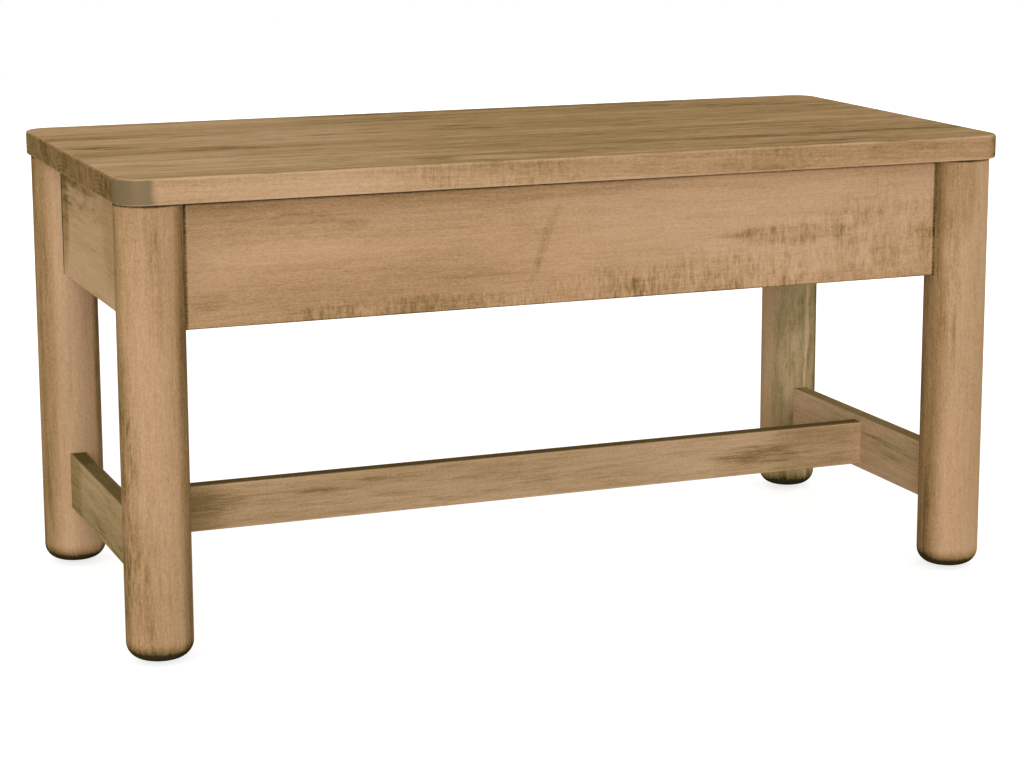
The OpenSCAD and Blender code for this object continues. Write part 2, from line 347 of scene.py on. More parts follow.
# A mark comes in over this stretch inwards from its edge, and strays as FREE or WANDERS says.
MARK_EDGE = (0.0, 0.8)
FREE = Wander(0.03, 0.012, 0.02)
WANDERS = {Effect.SHADE: Wander(warp_along=0.02), Effect.SWIRL: Wander(), Effect.SEAM: Wander()}


@dataclass(frozen=True)
class Mark:
    """A soft oval on a board where the figure differs.

    at and size are along the grain and across the face, from the board's middle, and size is
    half the oval's length and width. lean tilts the oval: so far across for each metre along. deep,
    where it is given, is the oval's place through the board and half its depth.
    """

    effect: Effect
    at: Pair
    size: Pair
    strength: float
    lean: float = 0.0
    deep: Pair | None = None

    def cover(self, along: Value, across: Value, through: Value) -> Value:
        """How much of the mark lies at a place.

        Args:
            along: Place along the grain.
            across: Place across the face.
            through: Place through the board.

        Returns:
            The strength in the oval's middle, falling to 0 at its edge.
        """
        run = (along - self.at[0]) * (1 / self.size[0])
        rest = (across - self.at[1]) * (1 / self.size[1])
        if self.lean:
            rest = rest - (along - self.at[0]) * (self.lean / self.size[1])
        away = run * run + rest * rest
        if self.deep:
            sunk = (through - self.deep[0]) * (1 / self.deep[1])
            away = away + sunk * sunk
        return (1 - away).rise(*MARK_EDGE) * self.strength


# Each effect's name makes a mark of it.
smear, shade, pale, grey, curl, swirl, glaze_and_shade, olive = (partial(Mark, effect) for effect in Effect)


@dataclass(frozen=True)
class Board:
    """How one board grew and how it took the stain.

    heart is where the middle of the tree lay, across and through the board, from the board's
    middle. taper is how far a ring drifts for each metre along, and ring the space between rings.
    stroke is the length and width of a streak of stain, and streaks how strong the streaks on the
    face are. sweep is how clearly the face shows long bands and lines along its grain. olive tints
    the wood, less so on its edges by edge_warmth. wear_and_highlight is how much paler the arrises
    are, from stain wiped thin and from a painted highlight along them, corner the radius of the
    face's corners and crown how much darker the faces that look up are.
    """

    node: str
    grain: Grain
    heart: Pair
    seed: float
    ring: float = 0.0045
    taper: float = 0.03
    tone: float = 0.0
    warmth: float = 0.5
    olive: float = 0.0
    edge_warmth: float = 0.0
    lines: float = 1.0
    smears: float = 1.0
    streaks: float = 0.3
    sweep: float = 0.0
    stroke: Pair = (0.060, 0.004)
    curl: float = 0.3
    wear_and_highlight: float = 0.0
    corner: float = 0.002
    crown: float = 0.0
    marks: tuple[Mark, ...] = ()

    def marked(self, *marks: Mark) -> "Board":
        """The same board with marks on it."""
        return replace(self, marks=marks)


WARP = Layer((3.1, 15, 15), 0)
RIPPLE = Layer((13, 70, 70), 3)
FIBRES = Layer((10, 420, 420), 7, 3, 0.6)
THREADS = Layer((75, 900, 900), 9, 3, 0.6)
PORES = Layer((85, 1000, 1000), 11, 1, window=(0.62, 0.78))
CLOUDS = Layer((3.6, 15, 15), 13, 3, 0.55)
SMEARS = Layer((5.5, 60, 60), 17, 4, 0.62, middle=0.0)
BARS = Layer((340, 75, 75), 19, 3, 0.6, (0.30, 0.74))
CURL_ZONE = Layer((6, 17, 17), 23, 1, window=(0.45, 0.75))
MOTTLE = Layer((60, 90, 90), 29, 4, 0.65)
WARMTH = Layer((2.8, 18, 18), 31, window=(0.3, 0.7))
STREAKS = Layer((17, 250, 250), 37, 4, 0.7, (0.40, 0.72))
GRIT = Layer((300, 520, 520), 41, 2, 0.7)
PATCHES = Layer((26, 42, 42), 43, 3, 0.6, (0.32, 0.70))
RAYS = Layer((60, 700, 90), 47, 3, 0.7)
BANDS = Layer((1.3, 36, 36), 53)
LONG_LINES = Layer((6, 230, 230), 59, 3, 0.6)
BROAD_BARS = Layer((150, 32, 32), 61, 2, 0.6, (0.34, 0.68))
RING_BANDS = Layer((0.21, 1, 1), 0)
RING_EDGES = Layer((0.9, 1, 1), 5, 0, middle=0.0)

# How much each layer adds to the darkness of the long sides, to that of the end grain and to the
# height of the surface. A board has its own measure of rings, bars and bands.
ON_FACE = {FIBRES: 0.22, THREADS: 0.32, GRIT: 0.50, PORES: 0.07, CLOUDS: 0.40}
RINGS = {RING_EDGES: 0.07, RING_BANDS: 0.24}
CURLY_BARS = {BARS: 0.24, BROAD_BARS: 0.17, PATCHES: 0.06}
SWEEP = {BANDS: 0.50, LONG_LINES: 0.45}
ON_END = {RING_EDGES: 0.30, MOTTLE: 0.70, RAYS: 0.55, CLOUDS: 0.50}
RELIEF = {FIBRES: 0.5, THREADS: 0.5, PORES: -0.8, RING_EDGES: -0.3}

# How far the rings stray and how thin their dark edges are.
RING_WANDER = Wander(warp_across=0.050, ripple_across=0.005)
RING_SHARPNESS = 4

# Curl: the mean of its bars, its strength between the patches and how much they add, its most.
CURL_MEAN = 0.13
CURL_LEAST = 0.55
CURL_PATCHES = 0.6
CURL_LIMIT = 1.8

# Streaks of stain: their mean, their darkness, and how strong they are on edges and undersides.
STREAK_MEAN = 0.4
STREAK_DARKNESS = 0.2
CALM_STREAKS = 0.3

# Smears: the stretch of their noise that shows, their darkness, and how much of a smeared mark
# follows the streaks and the smears. SHADE_LEAST is what a shaded mark has between smears.
SMEAR_EDGE = (0.54, 0.8)
SMEAR_DARKNESS = 0.22
MARK_STREAKS = 0.8
MARK_SMEARS = 0.5
SHADE_LEAST = 0.5

# What undersides lack of the marks, and of the glaze and painted shade of the seam marks.
UNDER_PLAIN = 0.6
UNDER_LESS_GLAZE_AND_SHADE = 0.5

# The darkest that a face gets, how dark end grain is, what the paling of an arris, partly stain
# rubbed thin and partly painted highlight, takes off between smears, and how far in from the arris
# it starts to fade and ends.
FACE_LIMIT = 0.79
END_TONE = 0.70
WEAR_AND_HIGHLIGHT_LEAST = 0.3
ARRIS = (0.0008, 0.0032)


class Wood(Shader):
    """Node tree of one board, in coordinates along its grain, across its face and through it."""

    def __init__(self, board: Board) -> None:
        """Lays out the board's coordinates and grows its rings.

        Args:
            board: The board.
        """
        super().__init__(board.node)
        self.board = board
        low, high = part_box(board.node)
        self.along, self.across, self.through = self.offsets((low + high) / 2)
        self.place = self.vector(self.along, self.across, self.through)
        along_axis, _, through_axis = board.grain.value
        self.end = self.facing[along_axis].size().rise(*END_SLOPE)
        self.side = 1 - self.facing[through_axis].size().rise(*FACE_SLOPE)
        self.under = self.turned_down()
        self.made: dict[Layer, Value] = {}
        self.grow_rings()
        self.smears = self.layer(SMEARS)

    def offsets(self, middle: Vector) -> list[Value]:
        """How far a place is from a point.

        Args:
            middle: The point, in the bench's own coordinates.

        Returns:
            The distance along the grain, across the face and through the board, with its sign.
        """
        moved = self.node("ShaderNodeMapping", {}, {"Vector": self.here, "Location": tuple(-middle)})
        parts = self.parts(moved.outputs[0])
        return [parts[axis] for axis in self.board.grain.value]

    def layer(self, layer: Layer) -> Value:
        """Gives a layer of the figure, which is made once.

        Args:
            layer: The layer.

        Returns:
            Its noise.
        """
        if layer not in self.made:
            self.made[layer] = self.noise(layer, self.place, self.board.seed)
        return self.made[layer]

    def mix(self, shares: dict[Layer, float]) -> Value:
        """Adds some layers up, each by its share."""
        return sum((self.layer(layer) * share for layer, share in shares.items()), 0.0)

    def wandered(self, wander: Wander) -> tuple[Value, Value]:
        """Place along the grain and across the face, after it has strayed."""
        across = self.across + self.layer(WARP) * wander.warp_across + self.layer(RIPPLE) * wander.ripple_across
        return self.along + self.layer(WARP) * wander.warp_along, across

    def cover(self, effect: Effect) -> Value | float:
        """How much of the board's marks of one kind lies at a place.

        Args:
            effect: What the marks do.

        Returns:
            Their sum, which is 0 where the board has none.
        """
        marks = [mark for mark in self.board.marks if mark.effect is effect]
        if not marks:
            return 0.0
        along, across = self.wandered(WANDERS.get(effect, FREE))
        return sum((mark.cover(along, across, self.through) for mark in marks), 0.0)

    def grow_rings(self) -> None:
        """Makes the layers of the tree's rings as the board cuts them: their thin edges and broader bands."""
        board = self.board
        off_heart = self.wandered(RING_WANDER)[1] - board.heart[0]
        depth = self.through - board.heart[1]
        radius = (off_heart * off_heart + depth * depth).root() + self.along * board.taper
        rings = (radius + self.cover(Effect.SWIRL)) * (1 / board.ring)
        place = self.vector(rings, board.seed, 0.0)
        self.made[RING_BANDS] = self.noise(RING_BANDS, place, board.seed)
        self.made[RING_EDGES] = (rings.part() ** RING_SHARPNESS) * self.noise(RING_EDGES, place, board.seed)

    def curl(self) -> Value:
        """Bars across the grain, where the board is curly.

        Returns:
            How much they darken the wood.
        """
        zone = self.layer(CURL_ZONE) * self.board.curl + self.cover(Effect.CURL)
        uneven = self.layer(PATCHES) * CURL_PATCHES + CURL_LEAST
        return (self.mix(CURLY_BARS) - CURL_MEAN) * uneven * zone.least(CURL_LIMIT)

    def face_darkness(self, base: float) -> Value:
        """How dark the board's long sides are.

        Args:
            base: Darkness of a plain board.

        Returns:
            The darkness.
        """
        board = self.board
        calm = self.side.most(self.under)
        length, width = board.stroke
        streaks = self.layer(replace(STREAKS, fineness=(1 / length, 1 / width, 1 / width)))
        stroked = (streaks - STREAK_MEAN) * STREAK_DARKNESS * (board.streaks + calm * (CALM_STREAKS - board.streaks))
        marked = (
            self.smears.rise(*SMEAR_EDGE) * (board.smears * SMEAR_DARKNESS)
            + self.cover(Effect.SMEAR) * (streaks * MARK_STREAKS + self.smears * MARK_SMEARS)
            + self.cover(Effect.SHADE) * (self.smears + SHADE_LEAST)
            - self.cover(Effect.PALE)
        )
        darkness = (
            self.mix(ON_FACE)
            + self.mix(RINGS) * board.lines
            + self.mix(SWEEP) * (1 - calm) * board.sweep
            + self.curl()
            + stroked
            + marked * (1 - self.under * UNDER_PLAIN)
            + self.facing[2].rise(*UP_SLOPE) * board.crown
            + (base + board.tone)
        )
        return darkness.least(FACE_LIMIT)

    def rubbed_and_highlit(self, outline: Box) -> Value:
        """Finds the arrises, paler partly because the stain was wiped thin there and partly from a painted highlight.

        Args:
            outline: Box of the board or of the panel that it is a part of.

        Returns:
            1 on an arris, falling to 0 a few millimetres away from it.
        """
        middle = (outline[0] + outline[1]) / 2
        half = (outline[1] - outline[0]) / 2
        reaches = zip(self.offsets(middle), self.board.grain.value)
        run, rise, depth = (offset.size() - half[axis] for offset, axis in reaches)
        corner = self.board.corner
        past_run = (run + corner).most(0.0)
        past_rise = (rise + corner).most(0.0)
        from_outline = corner - (past_run * past_run + past_rise * past_rise).root()
        return 1 - from_outline.most(depth * -1.0).rise(*ARRIS)

    def darkness(self, base: float, outline: Box | None) -> Value:
        """How dark the board is.

        Args:
            base: Darkness of a plain board.
            outline: Box of the panel that the board is a part of, where it isn't a panel by itself.

        Returns:
            The darkness, 0 to 1 and a little to both sides.
        """
        faces = self.face_darkness(base)
        ends = self.mix(ON_END) + (END_TONE + self.board.tone)
        darkness = faces + (ends - faces) * self.end
        # Paler arrises: stain wiped thin, and a painted highlight along them.
        if self.board.wear_and_highlight:
            rubbed_and_highlit = self.rubbed_and_highlit(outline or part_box(self.board.node))
            darkness = darkness - rubbed_and_highlit * (self.smears + WEAR_AND_HIGHLIGHT_LEAST) * self.board.wear_and_highlight
        # The seam marks add a joint's dark glaze and painted shade, less of it on undersides.
        return darkness + self.cover(Effect.SEAM) * (1 - self.under * UNDER_LESS_GLAZE_AND_SHADE)


SHADE_PLACES = (-0.25, 0.0, 0.27, 0.5, 0.76, 1.0)


@dataclass(frozen=True)
class StainedMaple:
    """Brown maple with a grey-brown wiping stain, under a finish flattened to a dull surface by rubbing.

    shades are its colours at the darknesses of SHADE_PLACES, and base the darkness of a plain board.
    cool_from and olive_from are the stretches of darkness over which those tints come in.
    """

    shades: tuple[Colour, ...] = (
        stain(222, 190, 155),
        stain(208, 174, 138),
        stain(190, 154, 116),
        stain(165, 132, 92),
        stain(124, 101, 63),
        stain(62, 51, 29),
    )
    # Grey of the painted sheen.
    grey: Colour = stain(124, 108, 81)
    warm_tint: Colour = (1.0, 0.955, 0.93)
    cool_tint: Colour = (0.97, 1.0, 0.97)
    olive_tint: Colour = (0.82, 1.0, 0.95)
    base: float = 0.30
    cool_from: Pair = (0.4, 0.9)
    cool_share: float = 0.6
    olive_from: Pair = (-0.1, 0.4)
    sheen_least: float = 0.35
    sheen_limit: float = 0.85
    roughness: float = 0.56
    uneven_roughness: float = 0.08
    sheen_level: float = 0.0
    relief: float = 0.10
    relief_height: float = 0.0012

    def dress(self, board: Board, outline: Box | None = None) -> None:
        """Gives a CAD node its wood.

        Args:
            board: The board that the node is.
            outline: Box of the panel that the board is a part of, where it isn't a panel by itself.
        """
        wood = Wood(board)
        height = wood.mix(RELIEF) + wood.layer(MOTTLE) * wood.end
        varying = {
            "Base Color": self.colour(wood, wood.darkness(self.base, outline)),
            "Roughness": (wood.layer(FIBRES) + wood.end) * self.uneven_roughness + self.roughness,
            "Normal": wood.bump(height, self.relief, self.relief_height),
        }
        wood.finish(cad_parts[board.node], varying, {"Specular IOR Level": self.sheen_level})

    def colour(self, wood: Wood, darkness: Value) -> Socket:
        """Colours a board.

        Args:
            wood: The board's node tree.
            darkness: How dark it is.

        Returns:
            The colour's socket.
        """
        first, span = SHADE_PLACES[0], SHADE_PLACES[-1] - SHADE_PLACES[0]
        stops = [((place - first) / span, shade) for place, shade in zip(SHADE_PLACES, self.shades)]
        colour = wood.ramp((darkness - first) * (1 / span), stops)
        warm = wood.layer(WARMTH)
        colour = wood.tint(colour, self.warm_tint, warm * wood.board.warmth)
        colour = wood.tint(colour, self.cool_tint, darkness.rise(*self.cool_from) * (1 - warm) * self.cool_share)
        olives = (1 - wood.side * wood.board.edge_warmth) * (wood.cover(Effect.OLIVE) + wood.board.olive)
        colour = wood.tint(colour, self.olive_tint, darkness.rise(*self.olive_from) * olives)
        # Painted sheen: grey mixed in on the board's edges where it has such marks.
        painted_sheen = wood.cover(Effect.GREY)
        if not painted_sheen:
            return colour
        share = (painted_sheen * (wood.smears + self.sheen_least)).least(self.sheen_limit) * wood.side
        return wood.tint(colour, self.grey, share, "MIX")


@dataclass(frozen=True)
class Woodwork:
    """Boards of one sub-assembly. They keep their CAD shapes."""

    boards: tuple[Board, ...]
    finish: StainedMaple = StainedMaple()

    def outline(self) -> Box | None:
        """Box of the panel that the boards make up, where they do."""
        return None

    def build(self) -> None:
        """Gives each board its wood."""
        outline = self.outline()
        for board in self.boards:
            self.finish.dress(board, outline)
            log.info("%s: %s", type(self).__name__.lower(), board.node)


top_board = partial(
    Board, grain=Grain.FLAT, olive=0.28, edge_warmth=0.9, lines=2.4, smears=0.8, streaks=1.7, sweep=1.6,
    stroke=(0.040, 0.0050), wear_and_highlight=0.3, corner=0.0285,
)
PALE_END = pale((-0.42, 0.0), (0.34, 0.20), 0.13)


@dataclass(frozen=True)
class Top(Woodwork):
    """The glued-up top: four boards, edge to edge."""

    boards: tuple[Board, ...] = (
        top_board("top_front_board", heart=(0.010, -0.16), seed=1.3, tone=-0.045, taper=0.05).marked(
            smear((-0.286, 0.056), (0.11, 0.007), 0.36),
            smear((-0.290, 0.013), (0.09, 0.010), 0.25),
            smear((-0.166, -0.014), (0.035, 0.028), 0.30),
            pale((-0.086, -0.031), (0.075, 0.018), 0.25),
            swirl((-0.100, -0.028), (0.09, 0.035), 0.008),
            smear((0.000, -0.018), (0.085, 0.016), 0.30),
            smear((0.270, -0.034), (0.09, 0.014), 0.25),
            smear((0.300, 0.030), (0.16, 0.016), 0.20),
            # Painted sheen on the rounded front left corner.
            grey((-0.505, -0.068), (0.036, 0.034), 1.75),
            shade((0.0, -0.078), (1.20, 0.020), 0.05),
            pale((-0.42, 0.03), (0.34, 0.10), 0.13),
            curl((-0.120, -0.076), (0.17, 0.020), 0.8),
            curl((0.200, -0.076), (0.13, 0.020), 0.35),
            shade((0.180, -0.076), (0.10, 0.020), 0.03),
            smear((0.380, -0.070), (0.09, 0.010), 0.09),
        ),
        top_board("top_second_board", heart=(0.055, -0.11), seed=11.7, tone=-0.055).marked(
            smear((-0.360, 0.038), (0.08, 0.020), 0.38, -0.3),
            pale((-0.420, -0.020), (0.12, 0.025), 0.20),
            smear((0.170, -0.008), (0.33, 0.014), 0.22),
            smear((0.380, -0.020), (0.15, 0.030), 0.20),
            PALE_END,
        ),
        top_board("top_third_board", heart=(-0.04, -0.13), seed=23.1, tone=-0.035).marked(
            smear((-0.380, 0.046), (0.17, 0.010), 0.36),
            smear((-0.460, -0.030), (0.05, 0.020), 0.36, -0.3),
            smear((-0.186, -0.002), (0.075, 0.010), 0.30),
            smear((-0.036, 0.020), (0.05, 0.035), 0.26),
            smear((0.240, -0.016), (0.10, 0.006), 0.28),
            PALE_END,
        ),
        top_board("top_back_board", heart=(0.02, -0.18), seed=37.9, tone=-0.045).marked(
            smear((-0.400, -0.066), (0.16, 0.005), 0.36),
            smear((0.354, -0.020), (0.09, 0.030), 0.25),
            PALE_END,
        ),
    )

    def outline(self) -> Box:
        """Box of the whole top."""
        lows, highs = zip(*(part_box(board.node) for board in self.boards))
        return Vector(map(min, *lows)), Vector(map(max, *highs))


LEG_END_SHADE = (
    # Painted shade darkening the foot towards the floor.
    glaze_and_shade((-0.262, 0.0), (0.048, 0.20), 0.8),
    # Painted shade on the head of the leg, just under the top's edge.
    glaze_and_shade((0.2385, 0.0), (0.0045, 0.20), 0.6),
)
# Depths of the marks that paint shade on a leg at its left and at its right as the photo shows it.
LEFT_EDGE = (0.012, 0.034)
RIGHT_EDGE = (-0.012, 0.034)
FRONT_SIDE = (-0.034, 0.040)
leg = partial(Board, grain=Grain.POST, stroke=(0.025, 0.006))


@dataclass(frozen=True)
class Legs(Woodwork):
    """Four turned legs."""

    boards: tuple[Board, ...] = (
        leg("front_left_leg", heart=(0.09, 0.05), seed=41.3, tone=-0.01).marked(
            # Painted shade down the leg's left side.
            shade((0.0, -0.036), (0.60, 0.012), 0.20, deep=LEFT_EDGE),
            smear((-0.05, -0.032), (0.16, 0.012), 0.30),
            smear((-0.17, -0.026), (0.11, 0.016), 0.15),
            smear((0.17, 0.036), (0.09, 0.007), 0.5),
            # Painted shade down the leg's right side.
            shade((0.0, 0.036), (0.60, 0.027), 0.35, deep=RIGHT_EDGE),
            *LEG_END_SHADE,
        ),
        leg("front_right_leg", heart=(-0.07, 0.08), seed=53.7, tone=-0.14).marked(
            # Painted shade down the leg's left side.
            shade((0.0, -0.035), (0.60, 0.032), 0.42, deep=(0.006, 0.040)),
            # Painted shade at the head of the leg, beside the apron and under the top.
            shade((0.205, -0.016), (0.080, 0.026), 0.19),
            smear((0.100, -0.020), (0.100, 0.010), 0.20),
            # Painted shade down the leg's right side.
            shade((0.0, 0.037), (0.60, 0.014), 0.24, deep=RIGHT_EDGE),
            *LEG_END_SHADE,
        ),
        leg("back_left_leg", heart=(0.06, -0.09), seed=61.1, tone=-0.20).marked(
            # Painted shade down the leg's left side.
            shade((0.0, -0.032), (0.60, 0.034), 0.40, deep=(0.0, 0.040)),
            # Painted shade down the leg's right side.
            shade((0.0, 0.036), (0.60, 0.018), 0.46, deep=RIGHT_EDGE),
            *LEG_END_SHADE,
        ),
        leg(
            "back_right_leg", heart=(-0.05, -0.10), seed=71.9, tone=-0.10, warmth=0.1, olive=0.20, smears=1.2,
            streaks=0.5, stroke=(0.045, 0.011),
        ).marked(
            olive((0.0, -0.006), (0.60, 0.050), 0.80, deep=FRONT_SIDE),
            shade((0.0, 0.000), (0.60, 0.045), 0.09, deep=FRONT_SIDE),
            pale((0.0, 0.007), (0.60, 0.0035), 0.24, deep=FRONT_SIDE),
            pale((-0.075, -0.010), (0.060, 0.026), 0.14, deep=FRONT_SIDE),
            smear((0.0, 0.0), (0.60, 0.045), 0.24, deep=FRONT_SIDE),
            # Painted shade down the leg's right side.
            shade((0.0, 0.035), (0.60, 0.016), 0.34, deep=(-0.018, 0.022)),
            *LEG_END_SHADE,
        ),
    )


# Painted shade along the top of an apron, under the top's edge, where its joint with the top also holds glaze.
UNDER_TOP_SHADE = glaze_and_shade((0.0, 0.0690), (2.0, 0.0092), 0.9)
APRON_SEAMS_AND_SHADE = (
    # Glaze and painted shade in the creases where the apron meets the legs.
    glaze_and_shade((-0.4348, 0.0), (0.0040, 0.20), 0.5),
    glaze_and_shade((0.4348, 0.0), (0.0040, 0.20), 0.6),
    UNDER_TOP_SHADE,
    # A soft painted shadow of the top's overhang on the apron.
    glaze_and_shade((0.0, 0.0690), (2.0, 0.0260), 0.10),
    # Painted shade along the apron's lower arris.
    glaze_and_shade((0.0, -0.0670), (2.0, 0.0025), 0.35),
)
END_APRON_SEAMS_AND_SHADE = (
    # Glaze and painted shade in the creases where the end apron meets the legs.
    glaze_and_shade((-0.1690, 0.0), (0.0040, 0.20), 0.6),
    glaze_and_shade((0.1690, 0.0), (0.0040, 0.20), 0.8),
    UNDER_TOP_SHADE,
)


@dataclass(frozen=True)
class Aprons(Woodwork):
    """Four boards under the top."""

    boards: tuple[Board, ...] = (
        Board("front_apron", Grain.UPRIGHT, heart=(0.01, 0.10), seed=83.3, curl=0.1, tone=-0.045).marked(
            curl((-0.187, -0.064), (0.19, 0.020), 1.3),
            curl((0.060, -0.060), (0.15, 0.030), 1.2),
            curl((0.170, -0.056), (0.15, 0.040), 0.8),
            curl((0.300, -0.030), (0.20, 0.070), 0.6),
            curl((0.380, -0.010), (0.09, 0.090), 0.5),
            curl((0.250, -0.008), (0.09, 0.016), 0.7),
            shade((0.250, -0.008), (0.09, 0.013), 0.12),
            shade((-0.170, -0.062), (0.07, 0.016), 0.12),
            shade((0.419, -0.026), (0.011, 0.030), 0.17),
            shade((0.372, -0.028), (0.022, 0.034), 0.10),
            shade((0.322, -0.034), (0.018, 0.030), 0.10),
            shade((-0.043, 0.000), (0.024, 0.016), 0.10, 2.1),
            smear((-0.050, -0.016), (0.009, 0.006), 0.14, 2.1),
            # Painted shade over the apron's left half, evening out the key lamp's light, which falls brighter there.
            shade((-0.300, 0.000), (0.320, 0.200), 0.09),
            swirl((-0.035, 0.005), (0.060, 0.060), 0.004),
            swirl((-0.322, 0.011), (0.160, 0.030), 0.005),
            pale((-0.322, 0.005), (0.130, 0.018), 0.08),
            smear((-0.330, 0.040), (0.120, 0.008), 0.15),
            smear((-0.268, 0.026), (0.032, 0.010), 0.16, 0.25),
            smear((-0.412, -0.040), (0.024, 0.014), 0.15),
            # Painted light over the apron's right half, evening out the key lamp's light, which falls weaker there.
            pale((0.280, 0.020), (0.28, 0.10), 0.10),
            *APRON_SEAMS_AND_SHADE,
        ),
        Board("back_apron", Grain.UPRIGHT, heart=(-0.03, 0.12), seed=97.7, tone=-0.04).marked(
            curl((-0.250, -0.050), (0.18, 0.045), 1.0),
            swirl((0.120, 0.010), (0.110, 0.040), 0.006),
            smear((0.300, 0.020), (0.100, 0.012), 0.20),
            *APRON_SEAMS_AND_SHADE,
        ),
        Board(
            "left_apron", Grain.END_UPRIGHT, heart=(0.02, 0.09), seed=103.1, tone=-0.22, warmth=0.2, olive=0.30,
            stroke=(0.030, 0.006),
        ).marked(
            shade((0.100, 0.056), (0.16, 0.020), 0.34),
            shade((0.158, 0.000), (0.034, 0.070), 0.32),
            smear((0.130, 0.030), (0.060, 0.040), 0.28, -0.4),
            shade((-0.080, 0.020), (0.060, 0.070), 0.15),
            shade((-0.135, -0.010), (0.022, 0.070), 0.18),
            smear((0.060, 0.030), (0.12, 0.030), 0.28),
            *END_APRON_SEAMS_AND_SHADE,
        ),
        Board("right_apron", Grain.END_UPRIGHT, heart=(-0.02, 0.11), seed=113.9, tone=-0.04, olive=0.2).marked(
            shade((0.090, 0.040), (0.080, 0.026), 0.16),
            curl((-0.060, -0.020), (0.150, 0.070), 0.5),
            *END_APRON_SEAMS_AND_SHADE,
        ),
    )


@dataclass(frozen=True)
class Stretchers(Woodwork):
    """Two end stretchers and the long one between them."""

    boards: tuple[Board, ...] = (
        Board(
            "left_end_stretcher", Grain.END_UPRIGHT, heart=(0.02, 0.09), seed=127.3, tone=0.12, warmth=0.1,
            olive=0.7, streaks=0.9, wear_and_highlight=0.3, crown=0.25,
        ).marked(
            shade((0.160, 0.0), (0.060, 0.10), 0.22),
            smear((0.0, -0.030), (0.20, 0.020), 0.25),
        ),
        Board(
            "right_end_stretcher", Grain.END_UPRIGHT, heart=(0.02, 0.09), seed=131.7, tone=-0.09, warmth=0.0,
            olive=0.85, streaks=1.1, stroke=(0.090, 0.004), wear_and_highlight=0.3, crown=0.25,
        ).marked(smear((-0.060, 0.010), (0.16, 0.020), 0.20)),
        Board(
            "long_stretcher", Grain.UPRIGHT, heart=(0.03, 0.10), seed=149.1, tone=0.06, warmth=0.3, olive=0.35,
            streaks=1.0, wear_and_highlight=0.3, crown=0.35,
        ).marked(
            shade((-0.450, 0.0), (0.13, 0.10), 0.28),
            smear((-0.380, 0.006), (0.12, 0.018), 0.30),
            smear((-0.200, 0.012), (0.14, 0.006), 0.25),
            smear((0.040, -0.012), (0.18, 0.006), 0.25),
            swirl((0.310, 0.0), (0.080, 0.040), 0.010),
            smear((0.300, -0.004), (0.075, 0.018), 0.40),
            shade((0.390, 0.000), (0.070, 0.060), 0.16),
        ),
    )


@dataclass(frozen=True)
class Inside(Woodwork):
    """What holds the bench together under its top, left bare."""

    boards: tuple[Board, ...] = (
        Board("cross_rail", Grain.END_FLAT, (0.02, 0.08), 163.3),
        Board("front_left_corner_block", Grain.POST, (0.09, 0.06), 167.9),
        Board("front_right_corner_block", Grain.POST, (-0.08, 0.07), 173.3),
        Board("back_left_corner_block", Grain.POST, (0.07, -0.09), 179.1),
        Board("back_right_corner_block", Grain.POST, (-0.09, -0.06), 181.7),
        Board("top_buttons", Grain.FLAT, (0.30, 0.12), 191.9),
    )
    finish: StainedMaple = StainedMaple(
        shades=(
            stain(244, 224, 193),
            stain(238, 214, 180),
            stain(228, 200, 163),
            stain(211, 179, 139),
            stain(184, 148, 108),
            stain(148, 114, 79),
        )
    )


@dataclass(frozen=True)
class ZincSteel:
    """Zinc plating, a little cloudy."""

    bright: Colour = (0.64, 0.64, 0.62)
    dull: Colour = (0.47, 0.48, 0.49)
    roughness: float = 0.34
    uneven_roughness: float = 0.2
    relief: float = 0.15
    relief_height: float = 0.0001
    clouds: Layer = Layer((420, 420, 420), 0, 3, 0.6, middle=0.0)
    grit: Layer = Layer((2600, 2600, 2600), 4, middle=0.0)

    def dress(self, piece: bpy.types.Object) -> None:
        """Gives a piece its plating.

        Args:
            piece: The piece.
        """
        shader = Shader(piece.name)
        cloud = shader.noise(self.clouds, shader.here)
        grit = shader.noise(self.grit, shader.here)
        varying = {
            "Base Color": shader.ramp(cloud, [(0.3, self.dull), (0.7, self.bright)]),
            "Roughness": self.roughness - (cloud - 0.5) * self.uneven_roughness,
            "Normal": shader.bump(grit, self.relief, self.relief_height),
        }
        shader.finish(piece, varying, {"Metallic": 1.0})


@dataclass(frozen=True)
class BrownPlastic:
    """Brown nylon, dulled by the floor."""

    colour: Colour = (0.10, 0.07, 0.045)
    scuffed: Colour = (0.19, 0.14, 0.095)
    roughness: float = 0.42
    scuffed_roughness: float = 0.3
    relief: float = 0.2
    relief_height: float = 0.0002
    scuffs: Layer = Layer((130, 520, 130), 3, 4, 0.7, (0.48, 0.7))
    sheen_level: float = 0.2

    def dress(self, piece: bpy.types.Object) -> None:
        """Gives a piece its plastic.

        Args:
            piece: The piece.
        """
        shader = Shader(piece.name)
        scuffs = shader.noise(self.scuffs, shader.here)
        scuffed = scuffs * shader.turned_down()
        varying = {
            "Base Color": shader.ramp(scuffed, [(0.0, self.colour), (1.0, self.scuffed)]),
            "Roughness": scuffed * self.scuffed_roughness + self.roughness,
            "Normal": shader.bump(scuffs, self.relief, self.relief_height),
        }
        shader.finish(piece, varying, {"Specular IOR Level": self.sheen_level})


def stage_piece(name: str, data: bpy.types.ID) -> bpy.types.Object:
    """Puts a new object into the scene.

    Args:
        name: Its name.
        data: Its mesh, lamp or camera.

    Returns:
        The object, at the origin.
    """
    thing = bpy.data.objects.new(name, data)
    bpy.context.scene.collection.objects.link(thing)
    return thing


